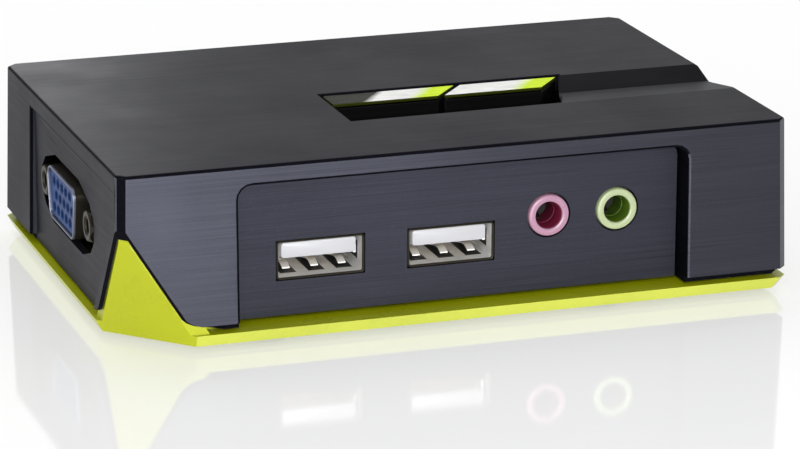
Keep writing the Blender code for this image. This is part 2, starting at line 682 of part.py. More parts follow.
def vga(name, place, turn_deg):
    (flange, reach, hollow), (body, core, pins) = vga_meshes()
    shell = piece(f"{name}_shell", flange, "steel", place, turn_deg)
    boolean(shell, reach, "UNION")
    boolean(shell, hollow)
    insulator = piece(f"{name}_insulator", body, "blue_plastic", place, turn_deg)
    boolean(insulator, core, "UNION")
    boolean(insulator, pins)
    along = Matrix.Rotation(math.radians(turn_deg), 3, "Z") @ Vector((1.0, 0.0, 0.0))
    for number, side in enumerate((-1, 1), start=1):
        spot = Vector(place) + along * side * VGA_SCREW_SPACING / 2
        screw = piece(f"{name}_jackscrew_{number}", hexagon_screw(), "steel", spot, turn_deg)
        thread = circle(1.25, 12)
        boolean(screw, prism(thread, -1.0, VGA_REACH - 1.2, "Y"))


def usb_b_z():
    return MOUNTED_Z + USB_B_SIZE[1] / 2


def usb_b_mouth(inset=0.0):
    width, height = (side - 2 * inset for side in USB_B_MOUTH)
    cut = USB_B_MOUTH_CUT
    return [(-width / 2, -height / 2), (width / 2, -height / 2), (width / 2, height / 2 - cut),
            (width / 2 - cut, height / 2), (cut - width / 2, height / 2),
            (-width / 2, height / 2 - cut)]


def usb_b_sockets():
    width, height, length = USB_B_SIZE
    tongue_width, tongue_height, tongue_length = USB_B_TONGUE
    for letter, x in zip("ab", USB_B_X):
        place = (x, REAR_FACE_Y - 0.6, usb_b_z())
        body = prism(centred(width, height), 0.0, length, "Y")
        shell = piece(f"pc_{letter}_usb_shell", body, "steel", place, 180.0)
        boolean(shell, prism(usb_b_mouth(), -1.0, USB_B_MOUTH_DEPTH, "Y"))
        end = USB_B_MOUTH_DEPTH - 0.2
        block = prism(centred(tongue_width, tongue_height), end - tongue_length, end, "Y")
        piece(f"pc_{letter}_usb_tongue", block, "white_plastic", place, 180.0)


def main():
    for obj in list(bpy.data.objects):
        bpy.data.objects.remove(obj, do_unlink=True)
    casing()
    tray()
    panels()
    main_board()
    key_well()
    keys()
    usb_a_sockets()
    jacks()
    vga("console_vga", (CONSOLE_VGA_FACE_X, CONSOLE_VGA_Y, VGA_Z), -90.0)
    for letter, x in zip("ab", REAR_VGA_X):
        vga(f"pc_{letter}_vga", (x, REAR_FACE_Y, VGA_Z), 180.0)
    usb_b_sockets()
    fasteners_and_feet()


main()
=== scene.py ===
"""Looks for the two-port KVM switch: finished pieces, materials, studio and camera around the model."""

import json
import math

import bmesh
import bpy
from mathutils import Matrix, Vector

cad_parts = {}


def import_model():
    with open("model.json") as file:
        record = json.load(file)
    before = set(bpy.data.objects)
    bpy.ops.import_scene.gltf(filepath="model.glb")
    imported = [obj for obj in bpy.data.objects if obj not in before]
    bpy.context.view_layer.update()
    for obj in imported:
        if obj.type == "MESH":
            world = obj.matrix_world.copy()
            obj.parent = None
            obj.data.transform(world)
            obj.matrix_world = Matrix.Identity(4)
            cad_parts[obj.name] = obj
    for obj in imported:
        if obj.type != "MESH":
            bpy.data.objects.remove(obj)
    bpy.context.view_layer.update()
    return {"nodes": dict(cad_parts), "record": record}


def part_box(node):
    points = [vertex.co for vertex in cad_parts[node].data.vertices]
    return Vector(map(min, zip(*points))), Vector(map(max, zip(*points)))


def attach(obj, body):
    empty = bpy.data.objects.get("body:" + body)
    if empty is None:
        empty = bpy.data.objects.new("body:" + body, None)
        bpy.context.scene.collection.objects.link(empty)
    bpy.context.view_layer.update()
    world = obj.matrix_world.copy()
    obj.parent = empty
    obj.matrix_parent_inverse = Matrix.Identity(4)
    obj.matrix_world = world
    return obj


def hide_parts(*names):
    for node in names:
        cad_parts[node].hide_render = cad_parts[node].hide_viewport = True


MM = 0.001

# Camera: place in metres, turn to the right of +Y, tilt down, roll, and lens.
CAMERA_AT = (-0.17664, -0.52637, 0.1721)
CAMERA_YAW_DEG = 18.76
CAMERA_DOWN_DEG = 16.68
CAMERA_ROLL_DEG = 0.16
CAMERA_LENS = 173.94

# Which way a socket faces, as its turn in degrees from facing -Y.
FRONT = 0.0
REAR = 180.0
LEFT = -90.0
RIGHT = 90.0

# The sizes below are in millimetres.

# Casing: its looks in the order of their indices, and the widths of its bevels.
# The second look is dark seams and chamfers together with painted shade, and the fourth is a painted
# highlight.
CASING_LOOKS = ("casing_black", "casing_edge", "casing_side", "casing_rim")
CASING_BLACK, CASING_EDGE_AND_SHADE, CASING_SIDE, CASING_HIGHLIGHT = range(len(CASING_LOOKS))
OPENING_BEVEL = 0.42
CORNER_BEVEL = 0.28

# USB-A sockets: shell, tongue, and the panel's openings as they are and as they are drawn.
USB_A_SIZE = (13.1, 5.8)
USB_A_WALL = 0.35
USB_A_LENGTH = 14.0
USB_A_CORNER = 0.6
USB_A_TONGUE = (11.1, 2.3)
USB_A_USES = ("keyboard", "mouse")
USB_A_OPENING = (13.7, 6.4)
USB_A_DRAWN_OPENING = (13.2, 5.9)

# Jacks: bushing, throat and bore.
JACK_RADIUS = 3.05
JACK_THROAT_RADIUS = 1.8
JACK_BORE_RADIUS = 1.7
JACK_BORE_END = 5.75

# Display sockets: D shell, flange, spacing of the contacts, and posts with their threads.
VGA_SHELL = (16.33, 7.9)
VGA_WALL = 0.4
VGA_CORNER = 1.6
VGA_SLANT_DEG = 10.0
VGA_FLANGE = (30.8, 12.5)
VGA_FLANGE_FACE = 5.9
VGA_FLANGE_BACK = 6.7
VGA_PIN_PITCH = 2.29
VGA_ROW_PITCH = 1.98
VGA_POST_SPACING = 25.0
VGA_POST_RADIUS = 2.5
VGA_POST_FACE = 0.7
VGA_POST_BACK = 5.7
VGA_THREAD_RADIUS = (1.2, 1.4)
VGA_THREAD_PITCH = 0.4

# Case screws: root and crest of the thread, and its pitch.
SCREW_THREAD_RADIUS = (0.78, 1.0)
SCREW_THREAD_PITCH = 0.8

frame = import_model()


def display(red, green, blue):
    """A linear colour from display values of 0 to 255."""
    def channel(value):
        value /= 255.0
        return value / 12.92 if value <= 0.04045 else ((value + 0.055) / 1.055) ** 2.4
    return (channel(red), channel(green), channel(blue), 1.0)


def scaled(colour, factor):
    """A colour made lighter or darker."""
    return tuple(min(1.0, channel * factor) for channel in colour[:3]) + (1.0,)


# Shaders -----------------------------------------------------------------------------------


class Shader:
    """A material's node tree with its Principled shader, and short ways to add nodes to it."""

    def __init__(self, name, colour, roughness, metallic=0.0, **settings):
        self.material = bpy.data.materials.new(name)
        self.material.use_nodes = True
        self.tree = self.material.node_tree
        self.principled = self.tree.nodes["Principled BSDF"]
        self.set("Base Color", colour)
        self.set("Roughness", roughness)
        self.set("Metallic", metallic)
        for socket, value in settings.items():
            self.set(socket.replace("_", " "), value)
        self.material.diffuse_color = colour

    def set(self, socket, value):
        self.principled.inputs[socket].default_value = value

    def add(self, kind, **values):
        node = self.tree.nodes.new(kind)
        for key, value in values.items():
            setattr(node, key, value)
        return node

    def link(self, source, target):
        self.tree.links.new(source, target)

    def feed(self, socket, value):
        """Gives a socket either another socket's output or a fixed value."""
        if isinstance(value, bpy.types.NodeSocket):
            self.link(value, socket)
        else:
            socket.default_value = value

    def position(self, scale=(1.0, 1.0, 1.0)):
        """Object coordinates in metres, stretched by a scale along each axis."""
        coordinates = self.add("ShaderNodeTexCoord")
        mapping = self.add("ShaderNodeMapping")
        mapping.inputs["Scale"].default_value = scale
        self.link(coordinates.outputs["Object"], mapping.inputs["Vector"])
        return mapping.outputs["Vector"]

    def noise(self, scale, stretch=(1.0, 1.0, 1.0), detail=4.0, roughness=0.6):
        node = self.add("ShaderNodeTexNoise")
        node.inputs["Scale"].default_value = scale
        node.inputs["Detail"].default_value = detail
        node.inputs["Roughness"].default_value = roughness
        self.link(self.position(stretch), node.inputs["Vector"])
        return node.outputs["Fac"]

    def math(self, operation, first, second=0.0):
        node = self.add("ShaderNodeMath", operation=operation)
        self.feed(node.inputs[0], first)
        self.feed(node.inputs[1], second)
        return node.outputs[0]

    def spread(self, source, low, high, start=0.3, end=0.7):
        """Maps a noise onto a range of values."""
        node = self.add("ShaderNodeMapRange")
        node.inputs["From Min"].default_value = start
        node.inputs["From Max"].default_value = end
        node.inputs["To Min"].default_value = low
        node.inputs["To Max"].default_value = high
        self.link(source, node.inputs["Value"])
        return node.outputs["Result"]

    def mix(self, factor, first, second):
        """A colour between two colours."""
        node = self.add("ShaderNodeMix", data_type="RGBA")
        self.feed(node.inputs[0], factor)
        self.feed(node.inputs[6], first)
        self.feed(node.inputs[7], second)
        return node.outputs[2]

    def blend(self, factor, first, second):
        """A number between two numbers."""
        node = self.add("ShaderNodeMix", data_type="FLOAT")
        self.feed(node.inputs[0], factor)
        self.feed(node.inputs[2], first)
        self.feed(node.inputs[3], second)
        return node.outputs[0]

    def bump(self, height, strength, distance):
        node = self.add("ShaderNodeBump")
        node.inputs["Strength"].default_value = strength
        node.inputs["Distance"].default_value = distance
        self.link(height, node.inputs["Height"])
        return node.outputs["Normal"]

    def wear(self):
        """1 on worn convex edges and 0 elsewhere."""
        pointiness = self.add("ShaderNodeNewGeometry").outputs["Pointiness"]
        return self.spread(pointiness, 0.0, 1.0, 0.51, 0.56)

    def use(self, socket, source):
        self.link(source, self.principled.inputs[socket])


def brushed_black(name, colour, roughness, ior=1.38):
    """Satin black plastic: hairlines that run level round the box, soft blotches, fine dust."""
    bluish = (0.72, 0.76, 1.0, 1.0)
    shader = Shader(name, colour, roughness, IOR=ior, Specular_Tint=bluish)
    along_x = shader.noise(90.0, (0.5, 90.0, 90.0), detail=3.0, roughness=0.65)
    along_y = shader.noise(90.0, (90.0, 0.5, 90.0), detail=3.0, roughness=0.65)
    facing = shader.add("ShaderNodeSeparateXYZ")
    shader.link(shader.add("ShaderNodeNewGeometry").outputs["Normal"], facing.inputs[0])
    sideways = shader.math("GREATER_THAN", shader.math("ABSOLUTE", facing.outputs["X"]), 0.7)
    lines = shader.blend(sideways, along_x, along_y)
    blotches = shader.noise(55.0, detail=5.0)
    dust = shader.noise(5200.0, detail=2.0)
    tone = shader.mix(shader.spread(lines, 0.0, 1.0), scaled(colour, 0.6), scaled(colour, 1.5))
    tone = shader.mix(shader.spread(dust, 0.0, 0.06, 0.62, 0.8), tone, display(150, 150, 155))
    gloss = shader.math("ADD", shader.spread(blotches, -0.04, 0.05),
                        shader.spread(lines, roughness + 0.03, roughness - 0.03))
    shader.use("Base Color", tone)
    shader.use("Roughness", gloss)
    shader.use("Normal", shader.bump(lines, 0.1, 0.00002))
    return shader.material


def moulded(name, colour, roughness, depth=0.000012, grain_scale=1500.0, worn=True, **settings):
    """Moulded plastic: fine grain, small changes of tone and gloss, and paler edges if worn."""
    shader = Shader(name, colour, roughness, **settings)
    grain = shader.noise(grain_scale, detail=4.0)
    blotches = shader.noise(70.0, detail=4.0)
    tone = shader.mix(shader.spread(blotches, 0.0, 1.0), scaled(colour, 0.93), scaled(colour, 1.06))
    tone = shader.mix(shader.wear(), tone, scaled(colour, 1.15)) if worn else tone
    shader.use("Base Color", tone)
    shader.use("Roughness", shader.spread(blotches, roughness - 0.05, roughness + 0.05))
    shader.use("Normal", shader.bump(grain, 0.25, depth))
    return shader.material


def metal(name, colour, roughness, metallic=1.0):
    """Plated sheet metal: rolling lines, small marks, brighter worn edges."""
    shader = Shader(name, colour, roughness, metallic=metallic)
    lines = shader.noise(260.0, (1.0, 1.0, 12.0), detail=4.0)
    marks = shader.noise(600.0, detail=3.0)
    tone = shader.mix(shader.spread(marks, 0.0, 1.0), scaled(colour, 0.8), colour)
    shader.use("Base Color", shader.mix(shader.wear(), tone, scaled(colour, 1.2)))
    shader.use("Roughness", shader.spread(lines, roughness - 0.07, roughness + 0.1))
    shader.use("Normal", shader.bump(lines, 0.12, 0.000006))
    return shader.material


def key_cap(name, lit_from, lime_from):
    """Light pipe cap: smoky and darker at its left end, white with painted light in the middle, lime at
    its right end.
    """
    shader = Shader(name, display(235, 235, 232), 0.14, IOR=1.08)
    place = shader.add("ShaderNodeSeparateXYZ")
    shader.link(shader.position(), place.inputs[0])
    slant = shader.math("MULTIPLY", place.outputs["Y"], 0.75)
    swirl = shader.math("MULTIPLY", shader.noise(160.0), 0.0016)
    along = shader.math("ADD", shader.math("SUBTRACT", place.outputs["X"], slant), swirl)
    # The white middle is painted light; the lime is the cap's own colour.
    clear = shader.spread(along, 0.0, 1.0, lit_from - 0.0006, lit_from + 0.0008)
    lime = shader.spread(along, 0.0, 1.0, lime_from - 0.0012, lime_from + 0.0012)
    streaks = shader.spread(shader.noise(300.0, (1.0, 8.0, 1.0)), 0.0, 1.0)
    smoky = shader.mix(streaks, display(16, 18, 8), display(48, 48, 38))
    white = shader.mix(streaks, display(214, 214, 210), display(250, 250, 248))
    green = shader.mix(streaks, display(186, 220, 10), display(222, 248, 40))
    tone = shader.mix(lime, shader.mix(clear, smoky, white), green)
    shader.use("Base Color", tone)
    shader.use("Roughness", shader.spread(shader.noise(200.0), 0.16, 0.28))
    shader.use("Normal", shader.bump(shader.noise(2400.0), 0.12, 0.000006))
    return shader.material


LOOKS = {
    "casing_black": brushed_black("casing_look", display(30, 30, 34), 0.42),
    "casing_side": brushed_black("casing_side_look", display(28, 28, 34), 0.44, ior=1.16),
    # Dark seams and chamfers, and painted shade on the groove's slope, the inner walls, the underside
    # and the opening bevels.
    "casing_edge": brushed_black("casing_edge_and_shade_look", display(8, 8, 13), 0.5, ior=1.1),
    # A painted highlight on some chamfers and rounded edges.
    "casing_rim": brushed_black("casing_highlight_look", display(52, 52, 58), 0.38),
    "panel_black": brushed_black("panel_look", display(28, 28, 34), 0.54),
    "lime": moulded("lime_look", display(164, 171, 8), 0.3, worn=False, IOR=1.38),
    # A paler copy of the lime: painted light on the lip's upright faces.
    "lime_lip": moulded("lime_lip_painted_light_look", display(180, 187, 70), 0.3, worn=False, IOR=1.33),
    # Key caps with painted light in their white middles.
    "lens_lime": key_cap("lens_a_look", -0.0005, 0.0068),
    "lens_lime_b": key_cap("lens_b_look", -0.02, 0.0228),
    # Painted shade: a dark copy of the lime for the caps' thin sides.
    "lens_side": moulded("lens_side_shade_look", display(50, 56, 8), 0.3, IOR=1.25),
    "key_black": moulded("key_look", display(7, 7, 7), 0.5, IOR=1.25),
    "steel": metal("steel_look", display(168, 168, 174), 0.3),
    "nickel": metal("nickel_look", display(118, 122, 138), 0.4),
    "tin": metal("tin_look", display(224, 223, 220), 0.45, metallic=0.4),
    # Dark plated metal, made darker still as painted shade for the posts and flanges that lie in the
    # cut-outs.
    "dark_steel": metal("dark_steel_look", display(44, 40, 32), 0.42, metallic=0.7),
    "gold": metal("gold_look", display(226, 186, 96), 0.25),
    "white_plastic": moulded("white_look", display(166, 166, 170), 0.35),
    "blue_plastic": moulded("blue_look", display(34, 64, 116), 0.45, IOR=1.2),
    # Painted shade inside the contact holes of the blue insert.
    "blue_hole_shade": moulded("blue_hole_shade_look", display(12, 24, 62), 0.5, IOR=1.2),
    "black_plastic": moulded("black_look", display(16, 16, 16), 0.5),
    "pink_plastic": moulded("pink_look", display(150, 112, 132), 0.3),
    # Painted shade inside the jacks' bores.
    "pink_hole_shade": moulded("pink_hole_shade_look", display(104, 24, 50), 0.4),
    "green_plastic": moulded("green_look", display(150, 160, 124), 0.3),
    # Painted shade inside the jacks' bores.
    "green_hole_shade": moulded("green_hole_shade_look", display(66, 92, 18), 0.4),
    "board_green": moulded("board_look", display(15, 75, 40), 0.4),
    "rubber": moulded("rubber_look", display(30, 30, 30), 0.85, 0.00003, 900.0),
    "led_white": moulded("led_look", display(235, 240, 235), 0.15),
}
BODY_OF = {node: body for body, nodes in frame["record"]["behaviour"]["bodies"].items()
           for node in nodes}
SLOT_OF = {entry["node"]: entry["material_slot"] for entry in frame["record"]["subparts"]}


def dress_nodes():
    """Gives the CAD nodes that stay in view their looks."""
    for node, slot in SLOT_OF.items():
        mesh = frame["nodes"][node].data
        mesh.materials.clear()
        mesh.materials.append(LOOKS[slot])


# Outlines and surfaces. Sockets are drawn in millimetres facing -Y, mouth at depth 0 -----------


def circle(radius, steps, centre=(0.0, 0.0)):
    """A counter-clockwise outline of steps points."""
    return [(centre[0] + radius * math.cos(math.tau * step / steps),
             centre[1] + radius * math.sin(math.tau * step / steps)) for step in range(steps)]


def hexagon(radius, steps):
    """A hexagon with its points spread like a circle's, so that it can join one."""
    points = []
    for step in range(steps):
        turn = math.tau * step / steps
        reach = radius * math.cos(math.pi / 6) / math.cos(turn % (math.pi / 3) - math.pi / 6)
        points.append((reach * math.cos(turn), reach * math.sin(turn)))
    return points


def rounded(corners, radius, steps=4):
    """A counter-clockwise outline with each of its corners rounded."""
    points = []
    for index, corner in enumerate(corners):
        corner = Vector(corner)
        before = (Vector(corners[index - 1]) - corner).normalized()
        after = (Vector(corners[(index + 1) % len(corners)]) - corner).normalized()
        half = before.angle(after) / 2
        centre = corner + (before + after).normalized() * radius / math.sin(half)
        start = corner + before * radius / math.tan(half) - centre
        sweep = math.pi - 2 * half
        for step in range(steps + 1):
            turn = Matrix.Rotation(sweep * step / steps, 2)
            points.append(tuple(centre + turn @ start))
    return points


def rectangle(width, height, radius, steps=4):
    u, v = width / 2, height / 2
    return rounded(((-u, -v), (u, -v), (u, v), (-u, v)), radius, steps)


def d_outline(inset):
    """The display socket's D, wide side up."""
    half_width, half_height = (side / 2 - inset for side in VGA_SHELL)
    lean = 2 * half_height * math.tan(math.radians(VGA_SLANT_DEG))
    corners = ((lean - half_width, -half_height), (half_width - lean, -half_height),
               (half_width, half_height), (-half_width, half_height))
    return rounded(corners, max(VGA_CORNER - inset, 0.3), 6)


def loft(bm, rings, look, start=False, end=False):
    """Joins rings of (outline, depth) in turn, and closes the ends that are asked for."""
    rows = [[bm.verts.new((u, depth, v)) for u, v in outline] for outline, depth in rings]
    made = []
    for near, far in zip(rows, rows[1:]):
        for index, vert in enumerate(near):
            made.append(bm.faces.new((near[index - 1], vert, far[index], far[index - 1])))
    if start:
        made.append(bm.faces.new(rows[0]))
    if end:
        made.append(bm.faces.new(reversed(rows[-1])))
    for face in made:
        face.material_index = look


def lathe(bm, profile, look, steps, centre=(0.0, 0.0), start=False, end=False):
    """Turns a profile of (radius, depth) about the depth axis."""
    rings = [(circle(radius, steps, centre), depth) for radius, depth in profile]
    loft(bm, rings, look, start, end)


def bar(bm, u, v, depth, look):
    """A bar with rounded long edges between two limits on each axis."""
    middle = ((u[0] + u[1]) / 2, (v[0] + v[1]) / 2)
    size = (u[1] - u[0], v[1] - v[0])
    shape = rectangle(*size, min(0.08, min(size) * 0.45), 2)
    outline = [(x + middle[0], y + middle[1]) for x, y in shape]
    loft(bm, [(outline, depth[0]), (outline, depth[1])], look, True, True)


def leaf(bm, u, path, thickness, look):
    """A bent strip: path gives (depth, v) along its lower face."""
    rows = [[bm.verts.new((x, depth, v + side)) for x, side in
             ((u[0], 0.0), (u[1], 0.0), (u[1], thickness), (u[0], thickness))] for depth, v in path]
    made = [bm.faces.new(rows[0]), bm.faces.new(reversed(rows[-1]))]
    for near, far in zip(rows, rows[1:]):
        for index in range(4):
            made.append(bm.faces.new((near[index - 1], near[index], far[index], far[index - 1])))
    for face in made:
        face.material_index = look


def mesh_of(name, bm, sharp_deg=30.0):
    """Makes a mesh of a shape in metres, shaded smooth but for its sharp edges."""
    mesh = bpy.data.meshes.new(name)
    bm.to_mesh(mesh)
    bm.free()
    mesh.shade_smooth()
    mesh.set_sharp_from_angle(angle=math.radians(sharp_deg))
    return mesh


def finish_mesh(name, bm, place, turn_deg=0.0, sharp_deg=30.0):
    """Welds a drawing in millimetres, puts it in its place and makes a mesh of it."""
    bmesh.ops.remove_doubles(bm, verts=bm.verts, dist=0.001)
    bmesh.ops.recalc_face_normals(bm, faces=bm.faces)
    move = Matrix.Translation(Vector(place) * MM) @ Matrix.Rotation(math.radians(turn_deg), 4, "Z")
    bm.transform(move @ Matrix.Scale(MM, 4))
    return mesh_of(name, bm, sharp_deg)


def add_piece(name, mesh, node, *looks):
    """A finished piece that goes with a CAD node's body and slot, with its looks in order."""
    obj = bpy.data.objects.new(name, mesh)
    bpy.context.scene.collection.objects.link(obj)
    for look in looks:
        mesh.materials.append(LOOKS[look])
    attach(obj, BODY_OF[node])
    return obj


def replacement(node, mesh, *looks):
    """A finished piece in place of one CAD node."""
    obj = add_piece(f"{node}_finished", mesh, node, *looks)
    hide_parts(node)
    return obj


def even_shading(obj):
    """Keeps large flat faces evenly lit beside their bevels."""
    weigh = obj.modifiers.new("even_shading", "WEIGHTED_NORMAL")
    weigh.keep_sharp = True
    weigh.weight = 100


def soften_edges(obj, width_mm):
    """Rounds the edges of a piece that are sharper than 28 degrees."""
    bevel = obj.modifiers.new("soft_edges", "BEVEL")
    bevel.width = width_mm * MM
    bevel.segments = 2
    bevel.limit_method = "ANGLE"
    bevel.angle_limit = math.radians(28.0)
    even_shading(obj)


def clean_copy(node):
    """A copy of a CAD node's mesh with its flat faces whole again."""
    bm = bmesh.new()
    bm.from_mesh(frame["nodes"][node].data)
    bmesh.ops.remove_doubles(bm, verts=bm.verts, dist=1e-6)
    bmesh.ops.dissolve_limit(bm, angle_limit=math.radians(0.5), verts=bm.verts, edges=bm.edges)
    return bm


def softened(node, width_mm):
    """The node's own shape with its edges eased, in place of the node."""
    obj = replacement(node, mesh_of(f"{node}_finished", clean_copy(node)), SLOT_OF[node])
    soften_edges(obj, width_mm)


def mouth(node, facing):
    """The middle of the side that a socket's node turns outwards."""
    low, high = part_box(node)
    place = [(start + end) / 2 / MM for start, end in zip(low, high)]
    axis = 1 if facing in (FRONT, REAR) else 0
    outer = low if facing in (FRONT, LEFT) else high
    place[axis] = outer[axis] / MM
    return place


# Casing and tray -----------------------------------------------------------------------------


def distance_inside(point, low, high):
    """How far a point lies within the nearest of a box's four upright sides."""
    return min(point.x - low.x, high.x - point.x, point.y - low.y, high.y - point.y)


def bevel_openings(bm, low, high):
    """Cuts a bevel in painted shade round the openings, with a painted highlight where it faces forward
    at the right.
    """
    shortest, outermost, above_tray = 0.3 * MM, 0.8 * MM, 4.5 * MM
    outer = []
    for edge in bm.edges:
        if len(edge.link_faces) != 2 or edge.calc_length() < shortest:
            continue
        middle = (edge.verts[0].co + edge.verts[1].co) / 2
        depth = min(distance_inside(middle, low, high), high.z - middle.z)
        square = abs(edge.calc_face_angle_signed() - math.pi / 2) < math.radians(6.0)
        if square and depth < outermost and middle.z > above_tray:
            outer.append(edge)
    made = bmesh.ops.bevel(bm, geom=outer, offset=OPENING_BEVEL * MM, segments=2, profile=0.5,
                           affect="EDGES", material=CASING_EDGE_AND_SHADE)["faces"]
    for face in made:
        face.normal_update()
        forward = face.normal.y < -0.8 and -0.6 < face.normal.x < -0.2
        upright = abs(face.normal.z) < 0.1
        if forward and upright and face.calc_center_median().x > 0.0:
            face.material_index = CASING_HIGHLIGHT


def round_corner(bm, low):
    """Rounds the left edge of the front left chamfer and gives it a painted highlight."""
    corner = []
    for edge in bm.edges:
        start, end = (vert.co for vert in edge.verts)
        upright = abs(end.z - start.z) > 0.95 * edge.calc_length() > 2.0 * MM
        middle = (start + end) / 2
        at_corner = middle.x < low.x + 1.0 * MM and middle.y < low.y + 2.5 * MM
        if upright and at_corner and edge.is_convex:
            corner.append(edge)
    bmesh.ops.bevel(bm, geom=corner, offset=CORNER_BEVEL * MM, segments=2, profile=0.5,
                    affect="EDGES", material=CASING_HIGHLIGHT)


def casing_look(face, low, high):
    """Which of the casing's looks a face takes, from where it lies and which way it faces."""
    normal, middle = face.normal, face.calc_center_median()
    squarest = max(abs(normal.x), abs(normal.y), abs(normal.z))
    rim = distance_inside(middle, low, high) < 0.7 * MM
    side = abs(normal.x) > 0.98
    inner_side = side and min(middle.x - low.x, high.x - middle.x) > 2.5 * MM
    under = middle.z < low.z + 1.0 * MM
    top = normal.z > 0.95 and not rim
    groove = top and normal.y < -0.2
    slanted = squarest < 0.985 and not top
    right_chamfer = normal.x > 0.5 and normal.y < -0.5 and not under
    # The right chamfer gets a painted highlight.
    if right_chamfer:
        return CASING_HIGHLIGHT
    # Slanted faces take the dark edge colour; the groove's slope, the underside and the inner side
    # walls take painted shade.
    if slanted or under or groove or inner_side:
        return CASING_EDGE_AND_SHADE
    if side or top:
        return CASING_SIDE
    return CASING_BLACK


def casing():
    """The casing in satin black, with darker seams and chamfers, painted shade on its inner walls,
    groove slope, underside and opening bevels, and painted highlights on a few edges.
    """
    bm = clean_copy("upper_casing")
    low, high = (Vector(corner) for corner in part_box("upper_casing"))
    for face in bm.faces:
        face.material_index = casing_look(face, low, high)
    round_corner(bm, low)
    bevel_openings(bm, low, high)
    mesh = mesh_of("upper_casing_finished", bm, 32.0)
    even_shading(replacement("upper_casing", mesh, *CASING_LOOKS))


def tray():
    """The lime tray, with painted light making the upright faces of its lip a little paler."""
    bm = clean_copy("base_tray")
    low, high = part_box("base_tray")
    lip_top = low[2] + 2.2 * MM
    for face in bm.faces:
        level = abs(face.normal.z) >= 0.97
        if face.calc_center_median().z < lip_top and not level:
            face.material_index = 1
    obj = replacement("base_tray", mesh_of("base_tray_finished", bm), "lime", "lime_lip")
    soften_edges(obj, 0.12)


def front_panel():
    """The front panel with its two square openings drawn in close round the sockets."""
    bm = clean_copy("front_panel")
    reach_u, reach_v = (side / 2 + 0.2 for side in USB_A_OPENING)
    scale_u, scale_v = (drawn / made for drawn, made in zip(USB_A_DRAWN_OPENING, USB_A_OPENING))
    for use in USB_A_USES:
        x, _, z = (value * MM for value in mouth(f"{use}_usb_shell", FRONT))
        for vert in bm.verts:
            u, v = vert.co.x - x, vert.co.z - z
            if abs(u) < reach_u * MM and abs(v) < reach_v * MM:
                vert.co.x = x + u * scale_u
                vert.co.z = z + v * scale_v
    obj = replacement("front_panel", mesh_of("front_panel_finished", bm), "panel_black")
    soften_edges(obj, 0.04)


def key_lens(letter, cap_look):
    """A key's cap, bright on its upper face, with painted shade round its thin sides."""
    node = f"key_lens_{letter}"
    bm = clean_copy(node)
    for face in bm.faces:
        face.material_index = int(face.normal.z < 0.5)
    obj = replacement(node, mesh_of(f"{node}_finished", bm), cap_look, "lens_side")
    soften_edges(obj, 0.07)


# Sockets -------------------------------------------------------------------------------------


def jack(name, facing, colour):
    """Bushing with a rounded lip, painted shade in its throat and at the end of its bore, and a sprung
    contact inside it.
    """
    rim, throat, bore = JACK_RADIUS, JACK_THROAT_RADIUS, JACK_BORE_RADIUS
    bm = bmesh.new()
    lathe(bm, ((throat + 0.1, JACK_BORE_END + 0.5), (throat + 0.1, 2.05), (rim, 2.05), (rim, 0.17),
               (rim - 0.07, 0.05), (rim - 0.2, 0.0), (2.25, 0.0), (2.1, 0.05), (2.0, 0.25)), 0, 40,
          start=True)
    lathe(bm, ((2.0, 0.25), (1.94, 0.5), (throat, 0.85), (throat, 2.65), (bore, 2.75),
               (bore, JACK_BORE_END)), 1, 40)
    leaf(bm, (-0.3, 0.3), ((4.45, -1.65), (5.05, -1.3), (5.45, -1.2), (5.85, -1.4)), 0.1, 2)
    # The bore's end takes the near-black key look as painted shade.
    lathe(bm, ((bore, JACK_BORE_END), (0.4, JACK_BORE_END + 0.2)), 3, 40, end=True)
    node = f"{name}_bushing"
    mesh = finish_mesh(f"{name}_finished", bm, mouth(node, facing), facing, 40.0)
    obj = add_piece(f"{name}_finished", mesh, node, f"{colour}_plastic", f"{colour}_hole_shade",
                    "dark_steel", "key_black")
    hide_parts(node)


def jacks():
    """Two jacks in the front panel, and two in the right panel for each computer."""
    for node in SLOT_OF:
        if node.endswith("_bushing"):
            facing = RIGHT if node.startswith("pc_") else FRONT
            jack(node.removesuffix("_bushing"), facing, "pink" if "microphone" in node else "green")


def usb_a_shell(use, place):
    """Folded shell, with sprung fingers over dark windows in its floor and sides."""
    width, height = USB_A_SIZE
    rolled = ((0.0, USB_A_LENGTH), (0.0, 0.3), (0.05, 0.08), (0.16, 0.0), (0.28, 0.06),
              (USB_A_WALL, 0.3))
    outlines = [(rectangle(width - 2 * inset, height - 2 * inset, USB_A_CORNER - inset), depth)
                for inset, depth in rolled]
    bm = bmesh.new()
    loft(bm, outlines, 1, start=True)
    inner = outlines[-1][0]
    loft(bm, [(inner, 0.3), (inner, USB_A_LENGTH - 1.0)], 0, end=True)

    bottom = USB_A_WALL - height / 2
    for u in (-4.1, 0.1, 4.2):
        bar(bm, (u - 1.2, u + 1.2), (bottom - 0.01, bottom + 0.02), (2.2, 9.4), 2)
        leaf(bm, (u - 0.62, u + 0.5), ((9.0, -2.5), (5.6, -1.75), (4.4, -1.7), (3.2, -2.2)),
             0.16, 0)
    wall = width / 2 - USB_A_WALL
    for side in (-1, 1):
        bar(bm, (side * wall - 0.02, side * wall + 0.02), (-1.5, 1.2), (2.4, 8.6), 2)
        leaf(bm, sorted((side * (wall - 0.15), side * (wall - 0.5))),
             ((2.6, -0.6), (5.2, -0.6), (8.4, -0.6)), 1.0, 0)
    node = f"{use}_usb_shell"
    mesh = finish_mesh(f"{node}_finished", bm, place)
    replacement(node, mesh, "tin", "dark_steel", "black_plastic")


